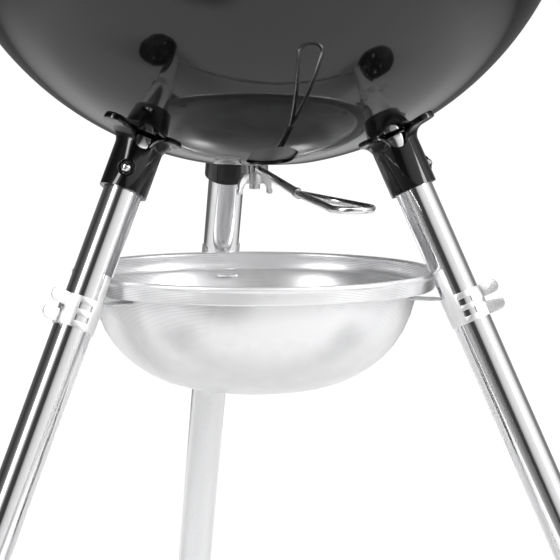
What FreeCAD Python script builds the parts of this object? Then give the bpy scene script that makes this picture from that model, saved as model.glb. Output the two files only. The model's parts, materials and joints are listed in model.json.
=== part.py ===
import FreeCAD, Part
import math
import os

# Kettle charcoal grill.  Millimetres, +Z up, floor at z = 0.  Everything is drawn round the
# kettle's own upright axis, then moved so that the origin is the middle of the footprint.

# ---- bowl ----
BOWL_R = 241.0            # outer radius of the bowl's sphere
BOWL_WALL = 1.6
BOWL_BOTTOM_Z = 406.0     # lowest point of the full sphere
BOWL_FLAT_R = 38.0        # flat disc pressed in the bottom
RIM_INSET = 6.0           # how far the rim stands in from the sphere
RIM_BEAD_R = 3.0
VENT_INNER_R = 43.0       # bottom vent openings, from the axis
VENT_OUTER_R = 95.0
VENT_WIDTH = 34.0
VENT_AZIMUTHS = (30.0, 150.0, 270.0)

# ---- legs ----
LEG_AZIMUTHS = {"rear": 90.0, "left": 210.0, "right": 330.0}
LEG_TILT = 25.2           # from upright
LEG_STANDOFF = 2.8        # how far the leg axis passes outside the bowl sphere's centre
TUBE_R = 14.0
TUBE_WALL = 1.5
TUBE_TOP_GAP = 1.2
SOCKET_WALL = 3.3
SOCKET_GAP = 0.15
SOCKET_LENGTH = 42.0
FLARE_R = 9.0
FOOT_T = 2.0
FOOT_WIDTH = 20.0
FOOT_REACH = 36.0         # outward foot
FOOT_SIDE_REACH = 30.0    # the two feet nearer the axis
WINDOW_HALF_W = 7.6
WINDOW_DEPTH = 11.0

# ---- snap buttons ----
BUTTON_DOWN = 28.0        # from the bowl, along the leg
BUTTON_TURN = 42.0        # round the leg from straight out
BUTTON_R = 3.7
BUTTON_GAP = 0.05
BUTTON_PROUD = 4.5
BUTTON_TRAVEL = 4.0
BUTTON_FLANGE_R = 5.2
BUTTON_FLANGE_T = 1.2
SPRING_T = 0.8
SPRING_W = 8.0
SPRING_L = 38.0

# ---- wheels and foot ----
AXLE_R = 5.0
AXLE_GAP = 0.1
WHEEL_R = 75.0
WHEEL_W = 36.0
WHEEL_LEG_GAP = 4.0
WHEEL_HUB_R = 17.0
WHEEL_WEB_T = 5.0
WHEEL_TREAD_T = 13.0
WHEEL_RIBS = 6
WHEEL_RIB_T = 4.0
WHEEL_RIB_H = 16.0
WHEEL_HOLE_R = 9.0
TREAD_CROWN = 2.0
TREAD_SHOULDER = 6.0
TREAD_CHAMFER = 2.0
HUB_CAP_R = 15.0
HUB_CAP_T = 7.0
HUB_CAP_GAP = 0.5
HUB_CAP_EDGE = 2.0
AXLE_PAST = 4.0           # how far the axle reaches past the wheels, into the caps
LEG_END_Z = 50.0          # where the wheel legs stop
PLUG_LIP_T = 3.0
FOOT_CAP_T = 3.0
FOOT_CAP_UP = 34.0
FOOT_CAP_SOLE = 5.0

# ---- ash pan and its clips ----
PAN_DROP = 76.0           # pan rim below the bowl's lowest point
PAN_RIM_Z = BOWL_BOTTOM_Z - PAN_DROP
PAN_LEG_GAP = 1.13        # between the rim and the legs
PAN_BEAD_R = 2.25
PAN_BAND_H = 12.4
PAN_STEP = 14.5           # how far the dish stands in from the rim
PAN_DEPTH = 92.6
PAN_WALL = 1.2
PAN_CURVE = (             # dish: reach, depth below the rim, lean of its surface
    (56.0, 86.5, 13.0),
    (79.0, 77.5, 29.0),
    (97.5, 64.0, 45.0),
    (111.5, 45.5, 58.0),
)
EAR_WIDTH = 17.0
EAR_DROP = 17.0           # top of the ears, below the rim
EAR_GAP = 0.6
CLIP_DROP = 22.7          # clip centre, below the pan rim
CLIP_H = 22.7
CLIP_T = 1.2
CLIP_SLOT_H = 4.6
CLIP_SLOT_HALF = 20.0
CLIP_SLOT_TURN = 68.0
CLIP_SLOT_PITCH = 8.6
CLIP_SPLIT = 1.6          # gap between the band's two ends
CLIP_TAB_OUT = 13.5
CLIP_TAB_H = 9.5
CLIP_FINGER_H = 20.0
CLIP_FINGER_TURNS = (92.0, 118.0)

# ---- vent control ----
SHAFT_R = 4.0
SHAFT_GAP = 0.05
BLADE_T = 1.2
BLADE_GAP = 0.5
BLADE_SPAN = 50.0
WASHER_R = 11.0
WASHER_T = 1.2
LEVER_AZIMUTH = 278.0
LEVER_WIRE_R = 3.0
LEVER_LOOP_WIRE_R = 2.5
LEVER_EYE_R = 10.0
LEVER_JUNCTION = 100.0     # where the rod divides into the finger loop, from the axis
LEVER_REACH = 222.0        # tip of the loop, from the axis
LEVER_DROOP = 12.0         # fall of the rod from the shaft to the junction
LEVER_LOOP_DROOP = 3.0     # further fall to the tip
LEVER_LOOP_HALF = 16.5
LEVER_COLLAR_L = 5.0
LEVER_COLLAR_T = 0.8
WING_NUT_R = 6.5
WING_NUT_H = 8.0
WING_H = 13.0
WING_REACH = 15.0
WING_T = 2.4

# ---- lid ----
LID_H = 165.0
LID_WALL = 1.6
LID_SEAT_GAP = 0.4
LID_SKIRT_H = 14.0
LID_SKIRT_GAP = 1.6
DAMPER_OFF = 95.0         # damper centre from the kettle axis, towards the rear
DAMPER_R = 34.0
DAMPER_T = 1.2
DAMPER_GAP = 0.4
DAMPER_HOLES = 4
DAMPER_HOLE_R = 7.0
DAMPER_HOLE_PITCH_R = 20.0
DAMPER_TAB_OUT = 12.0
RIVET_R = 3.0
RIVET_HEAD_R = 6.0
GRIP_HALF = 62.0
GRIP_R = 13.0
GRIP_END_L = 9.0          # length of the grip's domed ends
HANDLE_RISE = 48.0        # grip axis above the lid's top
POST_HALF_SPAN = 46.0
POST_R = 4.0
POST_END = 8.0            # how far the posts go through the lid
COLLAR_T = 4.0
COLLAR_RISE = 4.0         # underside of the posts' collars above the lid
SHIELD_HALF = 66.0
SHIELD_W = 44.0
SHIELD_T = 1.2
SHIELD_RISE = 18.0
BOLT_HEAD_R = 6.0
BOLT_HEAD_T = 3.5

# ---- bowl side handles ----
SIDE_ROD_R = 4.0
SIDE_HALF = 52.0
SIDE_OUT = 48.0           # grip axis beyond the bowl wall
SIDE_DROP = 26.0          # below the rim
SIDE_RISE = 4.0           # grip axis above the ends of its rod
SIDE_PAD_R = 10.0
SIDE_PAD_OUT = 5.0
SIDE_GRIP_R = 12.0
SIDE_GRIP_HALF = 40.0

# ---- grates ----
COOK_DROP = 26.0          # below the rim
COOK_GAP = 4.6
COOK_RING_R = 2.8
COOK_ROD_R = 2.0
COOK_PITCH = 16.0
COAL_DROP = 112.0
COAL_GAP = 0.6
COAL_RING_R = 3.6
COAL_ROD_R = 2.8
COAL_PITCH = 24.0
BRACKET_W = 16.0
BRACKET_T = 2.0
BRACKET_LEDGE = 15.0
BRACKET_H = 22.0
BRACKET_AZIMUTHS = (45.0, 135.0, 225.0, 315.0)
REST_GAP = 0.4            # between a grate and what carries it

UP = FreeCAD.Vector(0, 0, 1)
HOME = FreeCAD.Vector(0, 0, 0)


def vec(x, y, z):
    return FreeCAD.Vector(x, y, z)


def cos(degrees):
    return math.cos(math.radians(degrees))


def sin(degrees):
    return math.sin(math.radians(degrees))


def on_circle(radius, azimuth, z=0.0):
    return vec(radius * cos(azimuth), radius * sin(azimuth), z)


def sphere_drop(radius, reach):
    """Height of a sphere's surface below its centre, at a distance from the upright axis."""
    return math.sqrt(radius**2 - reach**2)


# ---- worked out from the sizes above ----
BOWL_RIM_R = BOWL_R - RIM_INSET
BOWL_C = BOWL_BOTTOM_Z + BOWL_R
BOWL_IN_R = BOWL_R - BOWL_WALL
FLAT_Z = BOWL_C - sphere_drop(BOWL_R, BOWL_FLAT_R)
RIM_Z = BOWL_C - sphere_drop(BOWL_R, BOWL_RIM_R)
LEG_TOP_R = BOWL_R * sin(LEG_TILT) + LEG_STANDOFF
LEG_TOP_Z = BOWL_C - sphere_drop(BOWL_R, LEG_TOP_R)
LEG_SLOPE = math.tan(math.radians(LEG_TILT))
AXLE_Z = WHEEL_R
SOCKET_IN_R = TUBE_R + SOCKET_GAP
SOCKET_R = SOCKET_IN_R + SOCKET_WALL
LID_R = BOWL_RIM_R + RIM_BEAD_R
LID_SPHERE = (LID_R**2 + LID_H**2) / (2 * LID_H)
LID_C = RIM_Z + LID_H - LID_SPHERE
LID_TOP = RIM_Z + LID_H
SKIRT_IN_R = BOWL_RIM_R + 1.0 + RIM_BEAD_R + LID_SKIRT_GAP
SKIRT_R = SKIRT_IN_R + LID_WALL


def leg_radius(z):
    """Distance of a leg's axis from the kettle axis, at a height."""
    return LEG_TOP_R + LEG_SLOPE * (LEG_TOP_Z - z)


def along_leg(z):
    """Distance down a leg's axis from the bowl, at a height."""
    return (LEG_TOP_Z - z) / cos(LEG_TILT)


PAN_RIM_R = leg_radius(PAN_RIM_Z) - TUBE_R / cos(LEG_TILT) - PAN_LEG_GAP
PAN_STEP_R = PAN_RIM_R - PAN_STEP


def bowl_inside(z):
    """Inner radius of the bowl at a height."""
    return sphere_drop(BOWL_IN_R, BOWL_C - z)


# ---- drawing helpers ----
def outline(start, *steps):
    """Face in the XZ plane.  A step is an end point, or an arc as (point on it, end)."""
    edges = []
    here = start
    for step in steps + (start,):
        arc = isinstance(step[0], tuple)
        end = step[1] if arc else step
        here_v = vec(here[0], 0, here[1])
        end_v = vec(end[0], 0, end[1])
        if arc:
            edges.append(Part.Arc(here_v, vec(step[0][0], 0, step[0][1]), end_v).toShape())
        elif here != end:
            edges.append(Part.makeLine(here_v, end_v))
        here = end
    return Part.Face(Part.Wire(edges))


def turned(face):
    return face.revolve(HOME, UP, 360)


def to_apex(radius, edge_z, apex_z):
    """Arc step from a round edge to the axis, as part of a ball centred on the axis."""
    rise = apex_z - edge_z
    ball = (radius**2 + rise**2) / (2 * rise)
    reach = radius / 2
    centre = apex_z - ball
    drop = math.copysign(sphere_drop(ball, reach), rise)
    return ((reach, centre + drop), (0, apex_z))


def from_apex(radius, edge_z, apex_z):
    """The same arc drawn from the axis out to the edge."""
    middle = to_apex(radius, edge_z, apex_z)[0]
    return (middle, (radius, edge_z))


def pipe(outer, inner, low, high):
    """Upright round pipe between two heights."""
    solid = Part.makeCylinder(outer, high - low, vec(0, 0, low))
    return solid.cut(Part.makeCylinder(inner, high - low + 2, vec(0, 0, low - 1)))


def rod(radius, start, end):
    return Part.makeCylinder(radius, (end - start).Length, start, end - start)


def box(low, high):
    return Part.makeBox(high[0] - low[0], high[1] - low[1], high[2] - low[2], vec(*low))


def bent_rod(radius, points):
    """Round wire through points, with a ball at each corner and at both ends."""
    pieces = [rod(radius, a, b) for a, b in zip(points, points[1:])]
    pieces += [Part.makeSphere(radius, p) for p in points]
    return pieces[0].multiFuse(pieces[1:]).removeSplitter()


def wedge(radius, low, high, middle, span):
    """Upright sector of a cylinder."""
    sector = Part.makeCylinder(radius, high - low, vec(0, 0, low), UP, span)
    return spun(sector, middle - span / 2)


def spun(shape, azimuth):
    copy = shape.copy()
    copy.rotate(HOME, UP, azimuth)
    return copy


def capsule(start, end, width, low, high):
    """Upright prism with round ends, along X between two distances."""
    half = width / 2
    solid = box((start + half, -half, low), (end - half, half, high))
    for x in (start + half, end - half):
        solid = solid.fuse(Part.makeCylinder(half, high - low, vec(x, 0, low)))
    return solid.removeSplitter()


def joined(pieces):
    solid = pieces[0]
    if len(pieces) > 1:
        solid = solid.multiFuse(pieces[1:])
    return solid.removeSplitter()


def leg_place(azimuth):
    """Leg frame: origin where the leg's axis meets the bowl, +Z up the leg, +X outwards."""
    tilt = FreeCAD.Placement(
        vec(LEG_TOP_R, 0, LEG_TOP_Z), FreeCAD.Rotation(vec(0, 1, 0), -LEG_TILT)
    )
    turn = FreeCAD.Placement(HOME, FreeCAD.Rotation(UP, azimuth))
    return turn.multiply(tilt)


def on_leg(shape, azimuth):
    copy = shape.copy()
    copy.Placement = leg_place(azimuth).multiply(copy.Placement)
    return copy


def dome_place():
    """Damper frame: origin on the lid's outer face, +Z out of the lid."""
    lean = math.degrees(math.asin(DAMPER_OFF / LID_SPHERE))
    tilt = FreeCAD.Placement(
        vec(DAMPER_OFF, 0, LID_C + sphere_drop(LID_SPHERE, DAMPER_OFF)),
        FreeCAD.Rotation(vec(0, 1, 0), lean),
    )
    turn = FreeCAD.Placement(HOME, FreeCAD.Rotation(UP, LEG_AZIMUTHS["rear"]))
    return turn.multiply(tilt)


def on_dome(shape):
    copy = shape.copy()
    copy.Placement = dome_place().multiply(copy.Placement)
    return copy


# ---- bowl ----
def bowl():
    flat_in = FLAT_Z + BOWL_WALL
    flat_in_r = math.sqrt(BOWL_IN_R**2 - (BOWL_C - flat_in) ** 2)
    middle_z = (FLAT_Z + RIM_Z) / 2
    outer_mid = sphere_drop(BOWL_R, BOWL_C - middle_z)
    rim_in = bowl_inside(RIM_Z)
    shell = turned(
        outline(
            (0, FLAT_Z),
            (BOWL_FLAT_R, FLAT_Z),
            ((outer_mid, middle_z), (BOWL_RIM_R, RIM_Z)),
            (rim_in, RIM_Z),
            ((bowl_inside(middle_z), middle_z), (flat_in_r, flat_in)),
            (0, flat_in),
        )
    )
    bead = Part.makeTorus(BOWL_RIM_R + 1.0, RIM_BEAD_R, vec(0, 0, RIM_Z - RIM_BEAD_R + 1.0))
    shell = shell.fuse(bead)
    slot = capsule(VENT_INNER_R, VENT_OUTER_R, VENT_WIDTH, FLAT_Z - 5, FLAT_Z + 60)
    cuts = [spun(slot, azimuth) for azimuth in VENT_AZIMUTHS]
    cuts.append(Part.makeCylinder(SHAFT_R + SHAFT_GAP, 20, vec(0, 0, FLAT_Z - 5)))
    return shell.cut(cuts).removeSplitter()


def bowl_ball():
    return Part.makeSphere(BOWL_R, vec(0, 0, BOWL_C))


# ---- legs, sockets and buttons ----
def button_axis(solid):
    """Turn something drawn along +X to the button's direction, at its place on the leg."""
    copy = solid.copy()
    copy.translate(vec(0, 0, -BUTTON_DOWN))
    return spun(copy, BUTTON_TURN)


def button_hole(radius):
    return button_axis(Part.makeCylinder(radius, SOCKET_R + 5, HOME, vec(1, 0, 0)))


def foot_lobes(low, high, extra=0.0):
    """Prism that the socket's three feet fill."""
    lobes = []
    for turn, reach in ((0, FOOT_REACH), (120, FOOT_SIDE_REACH), (240, FOOT_SIDE_REACH)):
        lobe = capsule(-FOOT_WIDTH / 2, reach + extra, FOOT_WIDTH, low, high)
        lobes.append(spun(lobe, turn))
    return joined(lobes)


def socket_blank():
    """Sleeve and flared feet in the leg frame, before the bowl is taken off."""
    arc_r = SOCKET_R + FLARE_R
    far = BOWL_R + FOOT_T + FLARE_R
    arc_z = BOWL_R - sphere_drop(far, arc_r)
    share = (BOWL_R + FOOT_T) / far
    touch = (arc_r * share, BOWL_R - (BOWL_R - arc_z) * share)
    bend = (arc_r - FLARE_R * cos(45), arc_z + FLARE_R * sin(45))
    inner = FLARE_R + FOOT_T
    share_in = (BOWL_R + FOOT_T - inner + FLARE_R) / far
    touch_in = (arc_r * share_in, BOWL_R - (BOWL_R - arc_z) * share_in)
    bend_in = (arc_r - inner * cos(45), arc_z + inner * sin(45))
    flare = turned(
        outline(
            (SOCKET_R, arc_z),
            (bend, touch),
            touch_in,
            (bend_in, (arc_r - inner, arc_z)),
        )
    )
    centre = vec(0, 0, BOWL_R)
    pad = Part.makeSphere(BOWL_R + FOOT_T, centre).cut(Part.makeSphere(BOWL_R - 2, centre))
    pad = pad.common(pipe(FOOT_REACH + 1, touch[0] - 0.4, -FOOT_T - 5, FOOT_REACH))
    feet = flare.fuse(pad).common(foot_lobes(-WINDOW_DEPTH - 6, FOOT_REACH))
    sleeve = pipe(SOCKET_R, SOCKET_IN_R, -SOCKET_LENGTH, FOOT_T)
    for turn in (60, 180, 300):
        arch_z = WINDOW_HALF_W - WINDOW_DEPTH
        arch = Part.makeCylinder(WINDOW_HALF_W, 2 * SOCKET_R, vec(0, 0, arch_z), vec(1, 0, 0))
        tall = box((0, -WINDOW_HALF_W, arch_z), (2 * SOCKET_R, WINDOW_HALF_W, FLARE_R))
        sleeve = sleeve.cut(spun(arch.fuse(tall), turn))
    bezel = pipe(BUTTON_R + 2.6, BUTTON_R + 1.0, SOCKET_R - 1.5, SOCKET_R + 0.6)
    bezel.rotate(HOME, vec(0, 1, 0), 90)
    solid = joined([sleeve, feet, button_axis(bezel)])
    return solid.cut(button_hole(BUTTON_R + 1.0))


def socket(azimuth):
    return on_leg(socket_blank(), azimuth).cut(bowl_ball())


def leg_tube(azimuth, end_z):
    tube = pipe(TUBE_R, TUBE_R - TUBE_WALL, -along_leg(end_z), -TUBE_TOP_GAP)
    tube = tube.cut(button_hole(BUTTON_R + BUTTON_GAP))
    return on_leg(tube, azimuth)


def axle_cut(shape):
    start = vec(-AXLE_END_X, AXLE_Y, AXLE_Z)
    end = vec(AXLE_END_X, AXLE_Y, AXLE_Z)
    return shape.cut(rod(AXLE_R + AXLE_GAP / 2, start, end))


def snap_button(azimuth):
    tip = SOCKET_R + BUTTON_PROUD
    straight = tip - BUTTON_R * 0.8
    flange_in = TUBE_R - TUBE_WALL - 0.3 - BUTTON_FLANGE_T
    face = outline(
        (0, flange_in),
        (BUTTON_FLANGE_R, flange_in),
        (BUTTON_FLANGE_R, flange_in + BUTTON_FLANGE_T),
        (BUTTON_R, flange_in + BUTTON_FLANGE_T),
        (BUTTON_R, straight),
        to_apex(BUTTON_R, straight, tip),
    )
    body = turned(face)
    inside = Part.makeCylinder(TUBE_R - TUBE_WALL - 0.2, 4 * BUTTON_R, vec(0, 0, -2 * BUTTON_R))
    outside = Part.makeCylinder(BUTTON_R, SOCKET_R * 2, vec(0, 0, flange_in))
    body.rotate(HOME, vec(0, 1, 0), 90)
    outside.rotate(HOME, vec(0, 1, 0), 90)
    body = body.common(inside.fuse(outside))
    return on_leg(button_axis(body), azimuth)


def button_spring(azimuth):
    """Flat V spring inside the leg: one leaf on the far wall, one behind the button."""
    near = TUBE_R - TUBE_WALL - BUTTON_FLANGE_T - BUTTON_TRAVEL - 0.6
    far = -sphere_drop(TUBE_R - TUBE_WALL, SPRING_W / 2) + 0.3
    bend_r = 2.4
    outer = outline(
        (near, SPRING_L / 4),
        (bend_r, -SPRING_L),
        ((0, -SPRING_L - bend_r), (-bend_r, -SPRING_L)),
        (far, SPRING_L / 4),
        (far + SPRING_T, SPRING_L / 4),
        (-bend_r + SPRING_T, -SPRING_L),
        ((0, -SPRING_L - bend_r + SPRING_T), (bend_r - SPRING_T, -SPRING_L)),
        (near - SPRING_T, SPRING_L / 4),
    )
    leaf = outer.extrude(vec(0, SPRING_W, 0))
    leaf.translate(vec(0, -SPRING_W / 2, 0))
    return on_leg(button_axis(leaf), azimuth)


def foot_cap():
    """Cap on the rear leg's end, with a flat sole on the floor."""
    azimuth = LEG_AZIMUTHS["rear"]
    bottom = -along_leg(0.0) - TUBE_R
    top = -along_leg(FOOT_CAP_UP)
    outer = Part.makeCylinder(TUBE_R + FOOT_CAP_T, top - bottom, vec(0, 0, bottom))
    outer = on_leg(outer, azimuth)
    centre = on_circle(leg_radius(0.0), azimuth)
    sole = Part.makeCylinder(TUBE_R + FOOT_CAP_T + 4, FOOT_CAP_SOLE, centre)
    floor_side = box((-600, -600, 0), (600, 600, FOOT_CAP_UP * 3))
    cap = joined([outer, sole]).common(floor_side)
    hole = Part.makeCylinder(TUBE_R + 0.02, along_leg(0.0), vec(0, 0, -along_leg(rear_end_z())))
    return cap.cut(on_leg(hole, azimuth))


def rear_end_z():
    """Height of the rear tube's end on its axis, clear above the cap's sole."""
    return FOOT_CAP_SOLE + TUBE_R * sin(LEG_TILT) + 2.0


def leg_plug(azimuth):
    """Plug with a domed lip in a wheel leg's open end."""
    end = -along_leg(LEG_END_Z)
    stem = Part.makeCylinder(TUBE_R - TUBE_WALL - 0.05, 12, vec(0, 0, end))
    lip = Part.makeCylinder(TUBE_R, PLUG_LIP_T, vec(0, 0, end - PLUG_LIP_T))
    lip = lip.makeFillet(PLUG_LIP_T * 0.6, [lip.Edges[2]])
    return on_leg(joined([stem, lip]), azimuth)


# ---- wheels ----
AXLE_Y = leg_radius(WHEEL_R) * sin(LEG_AZIMUTHS["left"])
LEG_OUT_X = leg_radius(LEG_END_Z - PLUG_LIP_T) * cos(LEG_AZIMUTHS["right"]) + TUBE_R / cos(LEG_TILT)
WHEEL_IN_X = LEG_OUT_X + WHEEL_LEG_GAP
WHEEL_OUT_X = WHEEL_IN_X + WHEEL_W
AXLE_END_X = WHEEL_OUT_X + AXLE_PAST
TYRE_IN_R = WHEEL_R - WHEEL_TREAD_T


def wheel_place(shape, side):
    """Lay something drawn about +Z, from the wheel's inner face outwards, on the axle."""
    copy = shape.copy()
    copy.rotate(HOME, vec(0, 1, 0), 90)
    copy.translate(vec(WHEEL_IN_X, AXLE_Y, AXLE_Z))
    if side < 0:
        copy = copy.mirror(HOME, vec(1, 0, 0))
    return copy


def tyre(side):
    """Crowned tread ring round the wheel."""
    crown = WHEEL_R - TREAD_CROWN
    face = outline(
        (TYRE_IN_R, TREAD_CHAMFER),
        (TYRE_IN_R + TREAD_CHAMFER, 0),
        (WHEEL_R - TREAD_SHOULDER, 0),
        (crown, TREAD_SHOULDER / 1.5),
        ((WHEEL_R, WHEEL_W / 2), (crown, WHEEL_W - TREAD_SHOULDER / 1.5)),
        (WHEEL_R - TREAD_SHOULDER, WHEEL_W),
        (TYRE_IN_R + TREAD_CHAMFER, WHEEL_W),
        (TYRE_IN_R, WHEEL_W - TREAD_CHAMFER),
    )
    return wheel_place(turned(face), side)


def wheel(side):
    """Hub, thin web with lightening holes, and ribs out to the tread ring."""
    web_low = (WHEEL_W - WHEEL_WEB_T) / 2
    face = outline(
        (AXLE_R + AXLE_GAP, 0),
        (WHEEL_HUB_R, 0),
        (WHEEL_HUB_R, web_low),
        (TYRE_IN_R, web_low),
        (TYRE_IN_R, web_low + WHEEL_WEB_T),
        (WHEEL_HUB_R, web_low + WHEEL_WEB_T),
        (WHEEL_HUB_R, WHEEL_W),
        (AXLE_R + AXLE_GAP, WHEEL_W),
    )
    rib_low = (WHEEL_W - WHEEL_RIB_H) / 2
    rib_half = WHEEL_RIB_T / 2
    rib_space = pipe(TYRE_IN_R, WHEEL_HUB_R - 1, 0, WHEEL_W)
    ribs = []
    holes = []
    for number in range(WHEEL_RIBS):
        turn = number * 360 / WHEEL_RIBS
        rib = box((0, -rib_half, rib_low), (TYRE_IN_R + 1, rib_half, rib_low + WHEEL_RIB_H))
        ribs.append(spun(rib.common(rib_space), turn))
        centre = vec((WHEEL_HUB_R + TYRE_IN_R) / 2, 0, 0)
        hole = Part.makeCylinder(WHEEL_HOLE_R, WHEEL_W, centre)
        holes.append(spun(hole, turn + 180 / WHEEL_RIBS))
    return wheel_place(turned(face).cut(holes).multiFuse(ribs).removeSplitter(), side)


def hub_cap(side):
    low = WHEEL_W + HUB_CAP_GAP
    edge = low + HUB_CAP_EDGE
    face = outline(
        (0, low),
        (HUB_CAP_R, low),
        (HUB_CAP_R, edge),
        to_apex(HUB_CAP_R, edge, WHEEL_W + HUB_CAP_T),
    )
    bore = Part.makeCylinder(AXLE_R + AXLE_GAP, AXLE_PAST + HUB_CAP_GAP, vec(0, 0, WHEEL_W))
    return wheel_place(turned(face).cut(bore), side)


def axle():
    return rod(AXLE_R, vec(-AXLE_END_X, AXLE_Y, AXLE_Z), vec(AXLE_END_X, AXLE_Y, AXLE_Z))


# ---- ash pan and clips ----
def pan_profile(inset):
    """Ash pan's dish below the step, from the floor's middle outwards, moved in by a wall."""
    points = []
    for reach, depth, lean in PAN_CURVE:
        points.append((reach - inset * sin(lean), PAN_RIM_Z - depth + inset * cos(lean)))
    return points


def ash_pan():
    rim = PAN_RIM_Z
    wall = PAN_WALL
    band_low = rim - PAN_BAND_H
    turn, knee, shoulder, side = pan_profile(0)
    turn_in, knee_in, shoulder_in, side_in = pan_profile(wall)
    floor = rim - PAN_DEPTH
    sheet = turned(
        outline(
            (PAN_RIM_R - 0.4, rim - PAN_BEAD_R),
            (PAN_RIM_R - 1.2, band_low - wall),
            (PAN_STEP_R, band_low - wall),
            (side, shoulder),
            (knee, turn),
            to_apex(turn[0], turn[1], floor),
            (0, floor + wall),
            from_apex(turn_in[0], turn_in[1], floor + wall),
            (knee_in, shoulder_in),
            (side_in, (PAN_STEP_R - wall, band_low)),
            (PAN_RIM_R - 1.2 - wall, band_low),
            (PAN_RIM_R - 0.4 - wall, rim - PAN_BEAD_R),
        )
    )
    bead = Part.makeTorus(PAN_RIM_R - PAN_BEAD_R, PAN_BEAD_R, vec(0, 0, rim - PAN_BEAD_R))
    ears = []
    ear_top = rim - EAR_DROP
    reach = leg_radius(ear_top) - (TUBE_R + CLIP_T) / cos(LEG_TILT) - EAR_GAP
    root = Part.makeCylinder(PAN_STEP_R - wall, PAN_BAND_H, vec(0, 0, ear_top - wall * 3))
    for azimuth in LEG_AZIMUTHS.values():
        ear = capsule(PAN_STEP_R - EAR_WIDTH, reach, EAR_WIDTH, ear_top - wall, ear_top)
        ears.append(spun(ear.cut(root), azimuth))
    return joined([sheet, bead] + ears)


def pan_clip(azimuth):
    """Spring band round a leg: slots at its sides, two finger tabs, two upright fingers."""
    inner = TUBE_R + 0.02
    outer = TUBE_R + CLIP_T
    half = CLIP_H / 2
    band = pipe(outer, inner, -half, half)
    for side in (-1, 1):
        for level in (-1, 1):
            low = level * CLIP_SLOT_PITCH / 2 - CLIP_SLOT_H / 2
            span = 2 * CLIP_SLOT_HALF
            slot = wedge(outer + 1, low, low + CLIP_SLOT_H, side * CLIP_SLOT_TURN, span)
            band = band.cut(slot)
    split = CLIP_SPLIT / 2
    band = band.cut(box((0, -split, -half - 1), (outer + 1, split, half + 1)))
    pieces = [band]
    low_turn, high_turn = CLIP_FINGER_TURNS
    finger_turn = (low_turn + high_turn) / 2
    finger_span = high_turn - low_turn
    finger_top = half + CLIP_FINGER_H
    tab_r = CLIP_TAB_H / 2
    tab_x = outer + CLIP_TAB_OUT - tab_r
    for side in (-1, 1):
        finger = pipe(outer, inner, half - 1, finger_top)
        sector = wedge(outer + 1, half - 1, finger_top, side * finger_turn, finger_span)
        pieces.append(finger.common(sector))
        tab_z = side * (half - tab_r)
        tab = Part.makeCylinder(tab_r, CLIP_T, vec(tab_x, 0, tab_z), vec(0, 1, 0))
        arm = box((inner + 0.3, 0, tab_z - tab_r), (tab_x, CLIP_T, tab_z + tab_r))
        tab = tab.fuse(arm)
        tab.translate(vec(0, split if side > 0 else -split - CLIP_T, 0))
        pieces.append(tab.removeSplitter())
    clip = joined(pieces)
    clip.translate(vec(0, 0, -along_leg(PAN_RIM_Z - CLIP_DROP)))
    return on_leg(clip, azimuth)


# ---- vent control ----
BLADE_LOW = FLAT_Z + BOWL_WALL + BLADE_GAP
WASHER_Z = FLAT_Z - BLADE_GAP
EYE_TOP = WASHER_Z - WASHER_T
EYE_LOW = EYE_TOP - 2 * LEVER_WIRE_R
NUT_LOW = EYE_LOW - WING_NUT_H


def vent_blades():
    centre = vec(0, 0, BOWL_C)
    shell = Part.makeSphere(BOWL_IN_R - BLADE_GAP, centre)
    shell = shell.cut(Part.makeSphere(BOWL_IN_R - BLADE_GAP - BLADE_T, centre))
    ring = pipe(VENT_OUTER_R + 4, BOWL_FLAT_R - 2, FLAT_Z, FLAT_Z + 60)
    shell = shell.common(ring)
    hub = Part.makeCylinder(BOWL_FLAT_R + 0.5, BLADE_T, vec(0, 0, BLADE_LOW))
    pieces = [hub]
    for azimuth in VENT_AZIMUTHS:
        pieces.append(shell.common(wedge(VENT_OUTER_R + 10, FLAT_Z, FLAT_Z + 60, azimuth, BLADE_SPAN)))
    hole = Part.makeCylinder(SHAFT_R, 10, vec(0, 0, FLAT_Z))
    return joined(pieces).cut(hole)


def vent_shaft():
    head = Part.makeCylinder(SHAFT_R * 1.8, 4.0, vec(0, 0, BLADE_LOW + BLADE_T))
    stem = Part.makeCylinder(SHAFT_R, BLADE_LOW + BLADE_T - NUT_LOW + 5, vec(0, 0, NUT_LOW - 4))
    return joined([head, stem])


def pivot_washer():
    return pipe(WASHER_R, SHAFT_R + SHAFT_GAP, EYE_TOP, WASHER_Z)


def vent_lever():
    """Round rod with an eye at the shaft and a drop-shaped finger loop at its end."""
    eye_mid = (EYE_TOP + EYE_LOW) / 2
    eye = pipe(LEVER_EYE_R, SHAFT_R, EYE_LOW, EYE_TOP)
    slope = LEVER_DROOP / LEVER_JUNCTION
    loop_slope = LEVER_LOOP_DROOP / (LEVER_REACH - LEVER_JUNCTION)
    start = vec(LEVER_EYE_R - 2, 0, eye_mid)
    junction = vec(LEVER_JUNCTION, 0, eye_mid - LEVER_DROOP)
    arm = rod(LEVER_WIRE_R, start, junction)
    loop_r = LEVER_LOOP_HALF - LEVER_LOOP_WIRE_R
    far = LEVER_REACH - LEVER_LOOP_WIRE_R - loop_r - LEVER_JUNCTION
    touch = math.degrees(math.acos(loop_r / far))
    bow = Part.makeTorus(loop_r, LEVER_LOOP_WIRE_R, vec(far, 0, 0), UP, -180, 180, 360 - 2 * touch)
    bow.rotate(vec(far, 0, 0), UP, 180 + touch)
    pieces = [bow, Part.makeSphere(LEVER_WIRE_R, HOME)]
    for side in (-1, 1):
        end = vec(far - loop_r * cos(touch), side * loop_r * sin(touch), 0)
        pieces.append(rod(LEVER_LOOP_WIRE_R, HOME, end))
    loop = joined(pieces)
    loop.rotate(HOME, vec(0, 1, 0), math.degrees(math.atan(loop_slope)))
    loop.translate(junction)
    collar_start = junction - vec(LEVER_COLLAR_L, 0, -LEVER_COLLAR_L * slope)
    collar = rod(LEVER_WIRE_R + LEVER_COLLAR_T, collar_start, junction)
    return spun(joined([eye, arm, loop, collar]), LEVER_AZIMUTH)


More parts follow.
